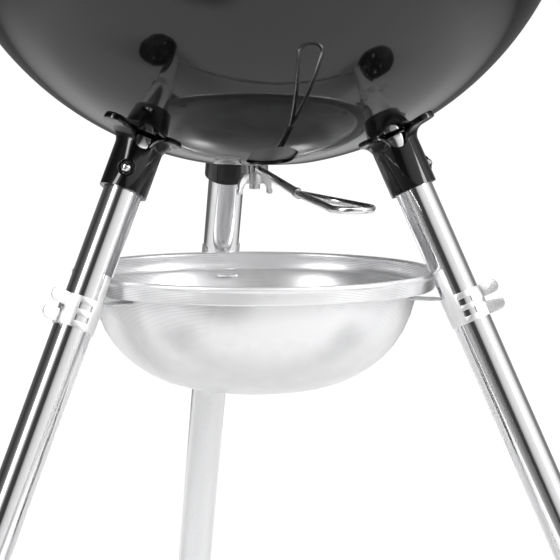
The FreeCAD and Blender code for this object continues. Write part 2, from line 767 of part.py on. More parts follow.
def wing_nut():
    body = pipe(WING_NUT_R, SHAFT_R, NUT_LOW, EYE_LOW)
    pieces = [body]
    for side in (0, 180):
        inner = WING_NUT_R - 1.5
        face = outline(
            (inner, NUT_LOW + 1),
            ((inner + 5, NUT_LOW - 1), (WING_REACH - 3, NUT_LOW - WING_H + 6)),
            ((WING_REACH, NUT_LOW - WING_H + 5), (WING_REACH, NUT_LOW - WING_H + 9)),
            ((inner + 7, EYE_LOW - 3), (inner, EYE_LOW - 1)),
        )
        wing = face.extrude(vec(0, WING_T, 0))
        wing.translate(vec(0, -WING_T / 2, 0))
        pieces.append(spun(wing, side + LEVER_AZIMUTH - 70))
    return joined(pieces)


# ---- lid ----
def lid():
    """Domed lid: the step and skirt outside the bowl's rim hang from the dome's edge."""
    inner = LID_SPHERE - LID_WALL
    seat = RIM_Z + 1.0 + LID_SEAT_GAP
    edge_out = sphere_drop(LID_SPHERE, seat + LID_WALL - LID_C)
    edge_in = sphere_drop(inner, seat - LID_C)
    mid_z = (seat + LID_TOP) / 2
    shell = turned(
        outline(
            (0, LID_TOP),
            ((sphere_drop(LID_SPHERE, mid_z - LID_C), mid_z), (edge_out, seat + LID_WALL)),
            (SKIRT_R, seat + LID_WALL),
            (SKIRT_R, seat - LID_SKIRT_H),
            (SKIRT_IN_R, seat - LID_SKIRT_H),
            (SKIRT_IN_R, seat),
            (edge_in, seat),
            ((sphere_drop(inner, mid_z - LID_C), mid_z), (0, LID_TOP - LID_WALL)),
        )
    )
    hem = Part.makeTorus(SKIRT_R - 0.4, 1.4, vec(0, 0, seat - LID_SKIRT_H))
    shell = shell.fuse(hem)
    cuts = []
    for number in range(DAMPER_HOLES):
        place = on_circle(DAMPER_HOLE_PITCH_R, number * 360 / DAMPER_HOLES, -20)
        cuts.append(on_dome(Part.makeCylinder(DAMPER_HOLE_R, 40, place)))
    cuts.append(on_dome(Part.makeCylinder(RIVET_R, 40, vec(0, 0, -20))))
    for side in (-1, 1):
        cuts.append(Part.makeCylinder(POST_R, 60, vec(side * POST_HALF_SPAN, 0, LID_TOP - 40)))
    return shell.cut(cuts).removeSplitter()


def lid_damper():
    """Curved disc that follows the lid, with the same holes and a tab to turn it by."""
    centre = vec(0, 0, -LID_SPHERE)
    shell = Part.makeSphere(LID_SPHERE + DAMPER_GAP + DAMPER_T, centre)
    shell = shell.cut(Part.makeSphere(LID_SPHERE + DAMPER_GAP, centre))
    disc = shell.common(Part.makeCylinder(DAMPER_R, 20, vec(0, 0, -10)))
    tab = shell.common(capsule(DAMPER_R - 12, DAMPER_R + DAMPER_TAB_OUT, 14, -10, 10))
    lip = box((DAMPER_R + DAMPER_TAB_OUT - 6, -5, 0), (DAMPER_R + DAMPER_TAB_OUT - 4.6, 5, 9))
    lip.translate(vec(0, 0, -2.0))
    plate = joined([disc, tab, lip.cut(Part.makeSphere(LID_SPHERE + DAMPER_GAP, centre))])
    cuts = [Part.makeCylinder(RIVET_R + SHAFT_GAP, 40, vec(0, 0, -20))]
    for number in range(DAMPER_HOLES):
        place = on_circle(DAMPER_HOLE_PITCH_R, number * 360 / DAMPER_HOLES, -20)
        cuts.append(Part.makeCylinder(DAMPER_HOLE_R, 40, place))
    return on_dome(spun(plate.cut(cuts), 45))


def lid_damper_rivet():
    low = -LID_WALL - 1.5
    stack = DAMPER_GAP + DAMPER_T
    top = outline(
        (0, stack + 0.3),
        (RIVET_HEAD_R, stack + 0.3),
        to_apex(RIVET_HEAD_R, stack + 0.3, stack + 3.0),
    )
    stem = Part.makeCylinder(RIVET_R, stack + 0.3 - low, vec(0, 0, low))
    tail = Part.makeCylinder(RIVET_HEAD_R - 1, 1.5, vec(0, 0, low - 0.3))
    tail = tail.common(Part.makeSphere(LID_SPHERE - LID_WALL, vec(0, 0, -LID_SPHERE)))
    return on_dome(joined([turned(top), stem, tail]))


GRIP_Z = LID_TOP + HANDLE_RISE
SHIELD_Z = LID_TOP + SHIELD_RISE
COLLAR_R = POST_R + COLLAR_T
COLLAR_TOP = GRIP_Z - GRIP_R * 0.8


def lid_handle_grip():
    """Moulded bar with full ends and a slightly waisted middle."""
    end = GRIP_HALF
    face = outline(
        (0, -end),
        from_apex(GRIP_R, GRIP_END_L - end, -end),
        ((GRIP_R * 0.86, 0), (GRIP_R, end - GRIP_END_L)),
        to_apex(GRIP_R, end - GRIP_END_L, end),
    )
    grip = turned(face)
    grip.rotate(HOME, vec(0, 1, 0), 90)
    grip.translate(vec(0, 0, GRIP_Z))
    cuts = []
    for side in (-1, 1):
        x = side * POST_HALF_SPAN
        cuts.append(rod(POST_R, vec(x, 0, SHIELD_Z), vec(x, 0, GRIP_Z)))
        cuts.append(rod(COLLAR_R, vec(x, 0, SHIELD_Z), vec(x, 0, COLLAR_TOP)))
    return grip.cut(cuts)


def lid_handle_posts():
    """Two posts with wide collars that carry the shield and the grip."""
    posts = []
    for side in (-1, 1):
        x = side * POST_HALF_SPAN
        stem = rod(POST_R - 0.02, vec(x, 0, dome_z(POST_HALF_SPAN) - POST_END), vec(x, 0, GRIP_Z))
        collar_low = dome_z(POST_HALF_SPAN + COLLAR_R) + COLLAR_RISE
        lower = rod(COLLAR_R, vec(x, 0, collar_low), vec(x, 0, SHIELD_Z))
        upper = rod(COLLAR_R, vec(x, 0, SHIELD_Z + SHIELD_T), vec(x, 0, COLLAR_TOP))
        posts.append(joined([stem, lower, upper]))
    return posts


def dome_z(reach):
    return LID_C + sphere_drop(LID_SPHERE, reach)


def lid_heat_shield():
    """Arched plate between the lid and the grip."""
    plate = box((-SHIELD_HALF, -SHIELD_W / 2, 0), (SHIELD_HALF, SHIELD_W / 2, SHIELD_T))
    pieces = [plate]
    for side in (-1, 1):
        edge = side * (SHIELD_W / 2 - SHIELD_T / 2)
        lip = box((-SHIELD_HALF, edge - SHIELD_T / 2, -6), (SHIELD_HALF, edge + SHIELD_T / 2, SHIELD_T))
        pieces.append(lip)
    shield = joined(pieces)
    shield.translate(vec(0, 0, SHIELD_Z))
    cuts = []
    for side in (-1, 1):
        cuts.append(Part.makeCylinder(POST_R, 20, vec(side * POST_HALF_SPAN, 0, SHIELD_Z - 10)))
    return shield.cut(cuts)


def lid_handle_nuts():
    """Nuts on the posts' ends, inside the lid."""
    nuts = []
    inner = dome_z(POST_HALF_SPAN) - LID_WALL - 2.5
    for side in (-1, 1):
        x = side * POST_HALF_SPAN
        hexagon = [on_circle(BOLT_HEAD_R, turn) for turn in range(0, 361, 60)]
        solid = Part.Face(Part.makePolygon(hexagon)).extrude(vec(0, 0, BOLT_HEAD_T))
        solid = solid.cut(Part.makeCylinder(POST_R, 20, vec(0, 0, -5)))
        solid.translate(vec(x, 0, inner - BOLT_HEAD_T))
        nuts.append(solid)
    return nuts


# ---- bowl side handles ----
SIDE_Z = RIM_Z - SIDE_DROP
SIDE_WALL_X = sphere_drop(BOWL_R, BOWL_C - SIDE_Z)


def side_handle(side):
    """Bent rod welded to the bowl, drawn on +X."""
    foot_x = math.sqrt(SIDE_WALL_X**2 - SIDE_HALF**2)
    out_x = SIDE_WALL_X + SIDE_OUT
    grip_z = SIDE_Z + SIDE_RISE
    points = [
        vec(foot_x - 3, -SIDE_HALF, SIDE_Z),
        vec(out_x, -SIDE_HALF, grip_z),
        vec(out_x, SIDE_HALF, grip_z),
        vec(foot_x - 3, SIDE_HALF, SIDE_Z),
    ]
    handle = bent_rod(SIDE_ROD_R, points)
    pads = []
    for end in (-1, 1):
        y = end * SIDE_HALF
        pad_start = vec(foot_x - SIDE_PAD_R, y, SIDE_Z)
        pads.append(rod(SIDE_PAD_R, pad_start, vec(foot_x + SIDE_PAD_OUT, y, SIDE_Z)))
    handle = joined([handle] + pads).cut(bowl_ball())
    return handle if side > 0 else spun(handle, 180)


def side_grip(side):
    out_x = SIDE_WALL_X + SIDE_OUT
    end = SIDE_GRIP_HALF
    face = outline(
        (SIDE_ROD_R, -end),
        (SIDE_GRIP_R - 2, -end),
        ((SIDE_GRIP_R, 0), (SIDE_GRIP_R - 2, end)),
        (SIDE_ROD_R, end),
    )
    grip = turned(face)
    grip.rotate(HOME, vec(1, 0, 0), 90)
    grip.translate(vec(out_x, 0, SIDE_Z + SIDE_RISE))
    return grip if side > 0 else spun(grip, 180)


# ---- grates ----
def grate(ring_radius, ring_wire, rod_wire, pitch, z):
    """Ring with parallel rods and two cross rods, all in one plane."""
    pieces = [Part.makeTorus(ring_radius, ring_wire, vec(0, 0, z))]
    count = int((ring_radius - pitch / 2) / pitch)
    for number in range(-count, count + 1):
        y = number * pitch
        half = math.sqrt(ring_radius**2 - y**2)
        pieces.append(rod(rod_wire, vec(-half, y, z), vec(half, y, z)))
    for x in (-ring_radius / 2, ring_radius / 2):
        half = math.sqrt(ring_radius**2 - x**2)
        pieces.append(rod(rod_wire, vec(x, -half, z), vec(x, half, z)))
    return joined(pieces)


def ring_inside(z, wire, gap):
    """Centreline radius of a wire ring that clears the bowl's wall by a gap."""
    return sphere_drop(BOWL_IN_R - wire - gap, BOWL_C - z)


COOK_Z = RIM_Z - COOK_DROP
COAL_Z = RIM_Z - COAL_DROP
COOK_R = ring_inside(COOK_Z, COOK_RING_R, COOK_GAP)
COAL_R = ring_inside(COAL_Z, COAL_RING_R, COAL_GAP)


def grate_brackets():
    """Four welded brackets with a ledge under the cooking grate."""
    top = COOK_Z - COOK_RING_R - REST_GAP
    wall = bowl_inside(top)
    inner_ball = Part.makeSphere(BOWL_IN_R, vec(0, 0, BOWL_C))
    brackets = []
    for azimuth in BRACKET_AZIMUTHS:
        outer_corner = (wall + BRACKET_W / 2, BRACKET_W / 2, top)
        ledge = box((wall - BRACKET_LEDGE, -BRACKET_W / 2, top - BRACKET_T), outer_corner)
        skin = Part.makeSphere(BOWL_IN_R - BRACKET_T, vec(0, 0, BOWL_C))
        strap = box((wall - 2 * BRACKET_H, -BRACKET_W / 2, top - BRACKET_H), outer_corner)
        strap = strap.cut(skin)
        bracket = joined([ledge, strap]).common(inner_ball)
        brackets.append(spun(bracket, azimuth))
    return brackets


# ---- placing and saving ----
REAR_Y = leg_radius(0.0) + TUBE_R + FOOT_CAP_T + 4
FRONT_Y = SKIRT_R + 1.0
KETTLE_Y = (FRONT_Y - REAR_Y) / 2


def save(name, shapes):
    """Write one node, moved so that the origin is the middle of the footprint."""
    solids = shapes if isinstance(shapes, list) else [shapes]
    body = solids[0] if len(solids) == 1 else Part.makeCompound(solids)
    body = body.copy()
    body.translate(vec(0, KETTLE_Y, 0))
    if len(body.Solids) == 1:
        body = body.Solids[0]
    body.exportStep(os.path.join("parts", name + ".step"))
    print(name, len(body.Solids), body.isValid(), round(body.Volume))


def main():
    os.makedirs("parts", exist_ok=True)
    save("bowl", bowl())
    for name, azimuth in LEG_AZIMUTHS.items():
        save("leg_socket_" + name, socket(azimuth))
        save("snap_button_" + name, snap_button(azimuth))
        save("button_spring_" + name, button_spring(azimuth))
        save("pan_clip_" + name, pan_clip(azimuth))
    save("leg_rear", leg_tube(LEG_AZIMUTHS["rear"], rear_end_z()))
    save("foot_cap", foot_cap())
    for name, side in (("left", -1), ("right", 1)):
        azimuth = LEG_AZIMUTHS[name]
        save("leg_" + name, axle_cut(leg_tube(azimuth, LEG_END_Z)))
        save("leg_plug_" + name, leg_plug(azimuth))
        save("tyre_" + name, tyre(side))
        save("wheel_" + name, wheel(side))
        save("hub_cap_" + name, hub_cap(side))
        save("bowl_handle_" + name, side_handle(side))
        save("bowl_handle_grip_" + name, side_grip(side))
    save("axle", axle())
    save("ash_pan", ash_pan())
    save("vent_blades", vent_blades())
    save("vent_shaft", vent_shaft())
    save("pivot_washer", pivot_washer())
    save("vent_lever", vent_lever())
    save("wing_nut", wing_nut())
    save("lid", lid())
    save("lid_damper", lid_damper())
    save("lid_damper_rivet", lid_damper_rivet())
    save("lid_handle_grip", lid_handle_grip())
    save("lid_handle_posts", lid_handle_posts())
    save("lid_heat_shield", lid_heat_shield())
    save("lid_handle_nuts", lid_handle_nuts())
    save("cooking_grate", grate(COOK_R, COOK_RING_R, COOK_ROD_R, COOK_PITCH, COOK_Z))
    save("charcoal_grate", grate(COAL_R, COAL_RING_R, COAL_ROD_R, COAL_PITCH, COAL_Z))
    save("grate_brackets", grate_brackets())


main()
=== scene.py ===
import json
import math

import bmesh
import bpy
from mathutils import Matrix, Vector


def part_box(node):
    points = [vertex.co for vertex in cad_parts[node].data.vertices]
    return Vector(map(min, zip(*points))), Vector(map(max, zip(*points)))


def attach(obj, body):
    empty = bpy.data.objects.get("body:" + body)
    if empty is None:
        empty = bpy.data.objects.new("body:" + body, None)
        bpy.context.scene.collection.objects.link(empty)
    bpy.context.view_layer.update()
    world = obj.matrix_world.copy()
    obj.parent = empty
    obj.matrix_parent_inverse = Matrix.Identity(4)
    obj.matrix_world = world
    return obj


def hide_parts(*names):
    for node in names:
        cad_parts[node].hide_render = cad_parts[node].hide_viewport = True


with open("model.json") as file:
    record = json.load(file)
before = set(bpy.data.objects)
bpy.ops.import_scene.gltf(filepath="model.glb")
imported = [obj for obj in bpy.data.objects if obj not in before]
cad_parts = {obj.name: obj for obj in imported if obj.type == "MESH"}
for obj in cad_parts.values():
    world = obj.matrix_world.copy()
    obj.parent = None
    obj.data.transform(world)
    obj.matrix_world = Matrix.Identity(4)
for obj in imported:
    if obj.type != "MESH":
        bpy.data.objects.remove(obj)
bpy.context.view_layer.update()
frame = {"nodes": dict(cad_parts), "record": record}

MM = 0.001

# ---- sizes of the kettle that its pieces' boxes don't give ----
BOWL_BALL_R = 241.0 * MM
BOWL_FLAT_R = 38.0 * MM
ENAMEL_WALL = 1.6 * MM
BEAD_R = 3.0 * MM
BEAD_OUT = 1.0 * MM
VENT_INNER_R = 43.0 * MM
VENT_OUTER_R = 95.0 * MM
VENT_WIDTH = 34.0 * MM
LEG_TILT = math.radians(25.2)
TUBE_R = 14.0 * MM
TUBE_WALL = 1.5 * MM
LEG_TURNS = {"rear": 90.0, "left": 210.0, "right": 330.0}

BOWL_LOW, BOWL_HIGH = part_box("bowl")
AXIS_X = (BOWL_LOW.x + BOWL_HIGH.x) / 2
AXIS_Y = (BOWL_LOW.y + BOWL_HIGH.y) / 2
FLAT_Z = BOWL_LOW.z
RIM_Z = BOWL_HIGH.z - BEAD_OUT
RIM_R = (BOWL_HIGH.x - BOWL_LOW.x) / 2 - BEAD_R - BEAD_OUT
BALL_Z = FLAT_Z + math.sqrt(BOWL_BALL_R**2 - BOWL_FLAT_R**2)


# ---- shader maths ----
class Value:
    """A number in a shader, as a socket that ordinary arithmetic can be written with."""

    def __init__(self, tree, socket):
        self.tree = tree
        self.socket = socket

    def _math(self, operation, *values):
        node = self.tree.nodes.new("ShaderNodeMath")
        node.operation = operation
        for slot, value in zip(node.inputs, values):
            if isinstance(value, Value):
                self.tree.links.new(value.socket, slot)
            else:
                slot.default_value = value
        return Value(self.tree, node.outputs[0])

    def __add__(self, other):
        return self._math("ADD", self, other)

    def __radd__(self, other):
        return self._math("ADD", other, self)

    def __sub__(self, other):
        return self._math("SUBTRACT", self, other)

    def __rsub__(self, other):
        return self._math("SUBTRACT", other, self)

    def __mul__(self, other):
        return self._math("MULTIPLY", self, other)

    def __rmul__(self, other):
        return self._math("MULTIPLY", other, self)

    def __truediv__(self, other):
        return self._math("DIVIDE", self, other)

    def root(self):
        return self._math("SQRT", self)

    def sine(self):
        return self._math("SINE", self)

    def clamped(self, low, high):
        return self._math("MINIMUM", self._math("MAXIMUM", self, low), high)

    def larger(self, other):
        return self._math("MAXIMUM", self, other)

    def angle_from(self, other):
        return self._math("ARCTAN2", self, other)


class Finish:
    """One material: a Principled shader and the nodes that vary it over the surface."""

    def __init__(self, name, colour, metallic=0.0, roughness=0.5, coat=0.0):
        self.material = bpy.data.materials.new(name)
        self.material.use_nodes = True
        self.tree = self.material.node_tree
        self.shader = self.tree.nodes["Principled BSDF"]
        self.shader.inputs["Base Color"].default_value = (*colour, 1.0)
        self.shader.inputs["Metallic"].default_value = metallic
        self.shader.inputs["Roughness"].default_value = roughness
        self.shader.inputs["Coat Weight"].default_value = coat
        self.shader.inputs["Coat Roughness"].default_value = 0.04
        self.where = self.node("ShaderNodeTexCoord", {}, {}, "Object")

    def node(self, kind, settings, values, output=0):
        """Add a node; settings first, then its sockets as constants or links."""
        made = self.tree.nodes.new(kind)
        for key, value in settings.items():
            setattr(made, key, value)
        for key, value in values.items():
            if isinstance(value, Value):
                self.tree.links.new(value.socket, made.inputs[key])
            else:
                made.inputs[key].default_value = value
        return Value(self.tree, made.outputs[output])

    def noise(self, scale, detail=2.0, stretch=(1.0, 1.0, 1.0)):
        place = self.node("ShaderNodeMapping", {}, {"Vector": self.where, "Scale": stretch})
        values = {"Vector": place, "Scale": scale, "Detail": detail}
        return self.node("ShaderNodeTexNoise", {}, values)

    def axes(self, centre=(0.0, 0.0, 0.0)):
        """Distances from a centre along X, Y and Z."""
        moved = self.node(
            "ShaderNodeVectorMath", {"operation": "SUBTRACT"}, {0: self.where, 1: centre}
        )
        split = self.tree.nodes.new("ShaderNodeSeparateXYZ")
        self.tree.links.new(moved.socket, split.inputs[0])
        return [Value(self.tree, socket) for socket in split.outputs]

    def feed(self, name, value):
        self.tree.links.new(value.socket, self.shader.inputs[name])
        return self

    def mixed(self, share, low, high):
        """Colour between two, by a number."""
        return self.node(
            "ShaderNodeMix",
            {"data_type": "RGBA"},
            {0: share, 6: (*low, 1.0), 7: (*high, 1.0)},
            2,
        )

    def bump(self, height, strength, distance):
        values = {"Height": height, "Strength": strength, "Distance": distance}
        return self.feed("Normal", self.node("ShaderNodeBump", {}, values))


def enamel(name, roughness=0.035):
    """Baked black enamel: glass-smooth, with a faint ripple and dust-fine mottling."""
    finish = Finish(name, (0.004, 0.004, 0.005), 0.0, roughness, 0.15)
    mottle = finish.noise(60.0, 4.0)
    finish.feed("Base Color", finish.mixed(mottle, (0.002, 0.002, 0.002), (0.006, 0.006, 0.006)))
    finish.feed("Roughness", finish.noise(25.0) * 0.03 + roughness)
    finish.bump(finish.noise(140.0, 2.0), 0.05, 0.0004)
    return finish.material


def polished_tube(name):
    """Plated tube: mirror with a very fine draw along its length."""
    finish = Finish(name, (0.88, 0.88, 0.89), 1.0, 0.07)
    draw = finish.noise(900.0, 2.0, (1.0, 1.0, 0.03))
    finish.feed("Base Color", finish.mixed(draw, (0.80, 0.80, 0.81), (0.93, 0.93, 0.94)))
    finish.feed("Roughness", draw * 0.05 + 0.05)
    finish.bump(draw, 0.03, 0.0002)
    return finish.material


def spun_aluminium(name, roughness=0.24):
    """Satin sheet with fine turning rings round the kettle's axis."""
    finish = Finish(name, (0.86, 0.86, 0.87), 0.5, roughness)
    x, y, z = finish.axes((AXIS_X, AXIS_Y, 0.0))
    reach = (x * x + y * y).root()
    rings = (reach * 5200.0 + z * 5200.0).sine() * 0.5 + 0.5
    cloud = finish.noise(14.0, 3.0)
    finish.feed("Base Color", finish.mixed(cloud, (0.86, 0.86, 0.87), (0.94, 0.94, 0.95)))
    finish.feed("Roughness", cloud * 0.10 + rings * 0.05 + (roughness - 0.06))
    finish.bump(rings + finish.noise(300.0) * 0.6, 0.06, 0.0002)
    return finish.material


def satin_steel(name, tone=0.85, roughness=0.22):
    """Pale satin steel strip with a short grain."""
    finish = Finish(name, (tone, tone, tone), 1.0, roughness)
    grain = finish.noise(700.0, 3.0, (1.0, 1.0, 0.15))
    low = tone * 0.9
    finish.feed("Base Color", finish.mixed(grain, (low, low, low), (tone, tone, tone)))
    finish.feed("Roughness", grain * 0.12 + (roughness - 0.05))
    finish.bump(grain, 0.06, 0.0002)
    return finish.material


def moulded_plastic(name, tone=0.02, roughness=0.42):
    """Black glass-filled nylon with a fine spark-eroded grain."""
    finish = Finish(name, (tone, tone, tone), 0.0, roughness)
    grain = finish.noise(1400.0, 3.0)
    cloud = finish.noise(30.0, 2.0)
    high = tone * 1.6
    finish.feed("Base Color", finish.mixed(cloud, (tone, tone, tone), (high, high, high * 1.02)))
    finish.feed("Roughness", grain * 0.12 + (roughness - 0.05))
    finish.bump(grain, 0.18, 0.0003)
    return finish.material


ENAMEL = enamel("kettle_enamel")
SOCKET_ENAMEL = enamel("socket_enamel", 0.05)
TUBE = polished_tube("leg_chrome")
PAN_METAL = spun_aluminium("pan_aluminium", 0.28)
DAMPER_METAL = spun_aluminium("damper_aluminium", 0.3)
CLIP_METAL = satin_steel("clip_steel", 0.95, 0.42)
BRIGHT_WIRE = satin_steel("bright_rod", 0.9, 0.1)
ZINC = satin_steel("zinc_plate", 0.72, 0.2)
DARK_STEEL = satin_steel("dark_steel", 0.16, 0.42)
BUTTON_METAL = satin_steel("button_plate", 0.92, 0.1)
NYLON = moulded_plastic("handle_nylon")
TYRE_PLASTIC = moulded_plastic("wheel_plastic", 0.025, 0.5)
CAP_PLASTIC = moulded_plastic("hub_cap_silver", 0.5, 0.3)


# ---- modelling helpers ----
def clear_selection():
    for thing in bpy.context.selected_objects:
        thing.select_set(False)


def edit(piece):
    clear_selection()
    bpy.context.view_layer.objects.active = piece
    piece.select_set(True)
    bpy.ops.object.mode_set(mode="EDIT")


def leave_edit():
    bpy.ops.object.mode_set(mode="OBJECT")


def apply_place(piece):
    clear_selection()
    bpy.context.view_layer.objects.active = piece
    piece.select_set(True)
    bpy.ops.object.transform_apply(location=True, rotation=True, scale=True)


def apply_modifiers(piece):
    bpy.context.view_layer.objects.active = piece
    for modifier in list(piece.modifiers):
        bpy.ops.object.modifier_apply(modifier=modifier.name)


def smooth(piece, angle=35.0):
    clear_selection()
    bpy.context.view_layer.objects.active = piece
    piece.select_set(True)
    bpy.ops.object.shade_smooth_by_angle(angle=math.radians(angle))


def outfit(piece, name, material, body, nodes=()):
    """Name a finished piece, give it its material and body, and hide what it replaces."""
    piece.name = name
    piece.data.materials.clear()
    piece.data.materials.append(material)
    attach(piece, body)
    if nodes:
        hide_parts(*nodes)
    return piece


def arc(centre, radius, start, end, steps):
    """Ring sizes (reach, height) along an arc of the section, angles in degrees."""
    rings = []
    for step in range(steps + 1):
        angle = math.radians(start + (end - start) * step / steps)
        rings.append((centre[0] + radius * math.cos(angle), centre[1] + radius * math.sin(angle)))
    return rings


def lathe(rings, segments=160, closed=True):
    """Turn a section into a solid: a circle extruded ring by ring, then joined to its start."""
    clear_selection()
    first = rings[0]
    bpy.ops.mesh.primitive_circle_add(vertices=segments, radius=first[0], location=(0, 0, first[1]))
    piece = bpy.context.object
    edit(piece)
    bpy.ops.mesh.select_all(action="SELECT")
    before = first
    for ring in rings[1:] + ([first] if closed else []):
        rise = (0, 0, ring[1] - before[1])
        bpy.ops.mesh.extrude_region_move(TRANSFORM_OT_translate={"value": rise})
        share = ring[0] / before[0]
        if abs(share - 1) > 1e-9:
            bpy.ops.transform.resize(value=(share, share, 1))
        before = ring
    bpy.ops.mesh.select_all(action="SELECT")
    bpy.ops.mesh.remove_doubles(threshold=1e-6)
    if not closed:
        bpy.ops.mesh.select_all(action="DESELECT")
        bpy.ops.mesh.select_non_manifold()
        bpy.ops.mesh.edge_face_add()
        bpy.ops.mesh.select_all(action="SELECT")
    bpy.ops.mesh.normals_make_consistent(inside=False)
    leave_edit()
    apply_place(piece)
    return piece


def move_to(piece, place):
    """Put a piece drawn round the origin where a matrix says."""
    piece.matrix_world = place
    apply_place(piece)
    return piece


def on_axis(piece):
    return move_to(piece, Matrix.Translation((AXIS_X, AXIS_Y, 0)))


def leg_place(name):
    """Leg frame: origin in the middle of the tube, +Z up the leg, +X outwards."""
    low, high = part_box("leg_" + name)
    middle = (low + high) / 2
    turn = Matrix.Rotation(math.radians(LEG_TURNS[name]), 4, "Z")
    tilt = Matrix.Rotation(-LEG_TILT, 4, "Y")
    return Matrix.Translation(middle) @ turn @ tilt


def subtract(piece, cutters):
    for cutter in cutters:
        modifier = piece.modifiers.new("cut", "BOOLEAN")
        modifier.operation = "DIFFERENCE"
        modifier.solver = "EXACT"
        modifier.object = cutter
        bpy.context.view_layer.objects.active = piece
        bpy.ops.object.modifier_apply(modifier=modifier.name)
    for cutter in cutters:
        bpy.data.objects.remove(cutter, do_unlink=True)


def cleaned_copy(node, bevel=0.0, angle=30.0):
    """Copy of a CAD node with its triangles joined up, its edges eased and its faces smooth."""
    source = frame["nodes"][node]
    piece = bpy.data.objects.new(node + "_piece", source.data.copy())
    bpy.context.scene.collection.objects.link(piece)
    edit(piece)
    bpy.ops.mesh.select_all(action="SELECT")
    bpy.ops.mesh.remove_doubles(threshold=2e-6)
    bpy.ops.mesh.dissolve_limited(angle_limit=math.radians(0.5))
    leave_edit()
    if bevel:
        modifier = piece.modifiers.new("edges", "BEVEL")
        modifier.width = bevel
        modifier.segments = 2
        modifier.limit_method = "ANGLE"
        modifier.angle_limit = math.radians(40)
        apply_modifiers(piece)
    smooth(piece, angle)
    return piece


BODY_OF = {}
for body_name, members in frame["record"]["behaviour"]["bodies"].items():
    for member in members:
        BODY_OF[member] = body_name


def finish_node(node, material, bevel=0.0, angle=30.0):
    piece = cleaned_copy(node, bevel, angle)
    return outfit(piece, node + "_piece", material, BODY_OF[node], [node])


# ---- bowl and lid ----
def ball_angle(reach, ball):
    return math.degrees(math.asin(reach / ball))


def vent_cutter(azimuth):
    """Round-ended prism for one bottom vent."""
    clear_selection()
    half = VENT_WIDTH / 2
    bpy.ops.mesh.primitive_cylinder_add(vertices=64, radius=half, depth=0.12)
    cutter = bpy.context.object
    edit(cutter)
    bpy.ops.mesh.select_all(action="DESELECT")
    mesh = bmesh.from_edit_mesh(cutter.data)
    for vertex in mesh.verts:
        vertex.select_set(vertex.co.x > 1e-5)
    mesh.select_flush(True)
    bmesh.update_edit_mesh(cutter.data)
    length = VENT_OUTER_R - VENT_INNER_R - VENT_WIDTH
    bpy.ops.transform.translate(value=(length, 0, 0))
    leave_edit()
    turn = Matrix.Rotation(math.radians(azimuth), 4, "Z")
    start = Matrix.Translation((VENT_INNER_R + half, 0, 0))
    place = Matrix.Translation((AXIS_X, AXIS_Y, FLAT_Z)) @ turn @ start
    return move_to(cutter, place)


def make_bowl():
    inner = BOWL_BALL_R - ENAMEL_WALL
    centre = (0, BALL_Z)
    flat_in = FLAT_Z + ENAMEL_WALL
    flat_in_r = math.sqrt(inner**2 - (BALL_Z - flat_in) ** 2)
    hole = 4.05 * MM
    knee = 4.0 * MM
    start = ball_angle(BOWL_FLAT_R + knee, BOWL_BALL_R) - 90
    end = ball_angle(RIM_R, BOWL_BALL_R) - 90
    bead = (RIM_R + BEAD_OUT, RIM_Z + BEAD_OUT - BEAD_R)
    rings = [(hole, FLAT_Z), (BOWL_FLAT_R * 0.5, FLAT_Z), (BOWL_FLAT_R - knee, FLAT_Z)]
    rings += [(BOWL_FLAT_R, FLAT_Z + 0.15 * MM)]
    rings += arc(centre, BOWL_BALL_R, start, end - 1.2, 60)
    rings += arc(bead, BEAD_R, -80, 170, 14)
    rings += arc(centre, inner, end - 1.0, ball_angle(flat_in_r + knee, inner) - 90, 48)
    rings += [(flat_in_r - knee, flat_in), (hole, flat_in)]
    piece = on_axis(lathe(rings, 192))
    subtract(piece, [vent_cutter(turn) for turn in (30.0, 150.0, 270.0)])
    smooth(piece, 30)
    return outfit(piece, "bowl_shell", ENAMEL, "kettle", ["bowl"])


def make_lid():
    """Dome with a stepped skirt and a rolled hem."""
    low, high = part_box("lid")
    skirt_out = (high.x - low.x) / 2 - 1.0 * MM
    hem_z = low.z + 1.4 * MM
    seat = hem_z + 14.0 * MM
    top = high.z
    edge = RIM_R + BEAD_R
    rise = top - RIM_Z
    ball = (edge**2 + rise**2) / (2 * rise)
    centre = (0, top - ball)
    wall = ENAMEL_WALL
    edge_angle = math.degrees(math.asin((seat + 3.5 * MM - centre[1]) / ball))
    inner_angle = math.degrees(math.asin((seat - centre[1]) / (ball - wall)))
    rings = arc(centre, ball, 89.8, edge_angle, 60)
    rings += [(skirt_out - 3.2 * MM, seat + wall + 0.25 * MM)]
    rings += arc((skirt_out - 2.5 * MM, seat + wall - 2.5 * MM), 2.5 * MM, 90, 0, 6)
    rings += [(skirt_out, seat - 8 * MM)]
    rings += arc((skirt_out - 0.4 * MM, hem_z), 1.4 * MM, 60, -220, 12)
    rings += [(skirt_out - wall, seat - 8 * MM), (skirt_out - wall, seat)]
    rings += [(skirt_out - wall - 2 * MM, seat)]
    rings += arc(centre, ball - wall, inner_angle, 89.8, 48)
    piece = lathe(rings, 192, closed=False)
    on_axis(piece)
    return outfit(piece, "lid_shell", ENAMEL, "lid", ["lid"])


# ---- ash pan ----
PAN_RIM_R = 136.0 * MM
PAN_BEAD_R = 2.25 * MM
PAN_WALL = 1.2 * MM
PAN_BAND_H = 12.4 * MM
PAN_STEP_R = 121.5 * MM
PAN_CAP_R = 56.0 * MM     # the domed middle of the pan's floor
PAN_CAP_DEPTH = 86.5 * MM
PAN_SECTION = (           # dish, in mm: reach, depth below the rim, lean of its surface
    (56.0, 86.5, 13.0), (68.0, 82.8, 21.0), (79.0, 77.5, 29.0), (88.8, 71.2, 37.0),
    (97.5, 64.0, 45.0), (105.0, 55.6, 51.5), (111.5, 45.5, 60.0), (116.6, 34.0, 68.0),
    (119.9, 23.0, 76.0),
)
EAR_DROP = 17.0 * MM
EAR_WIDTH = 17.0 * MM
EAR_LENGTH = 14.0 * MM
EAR_REACH = 145.1 * MM


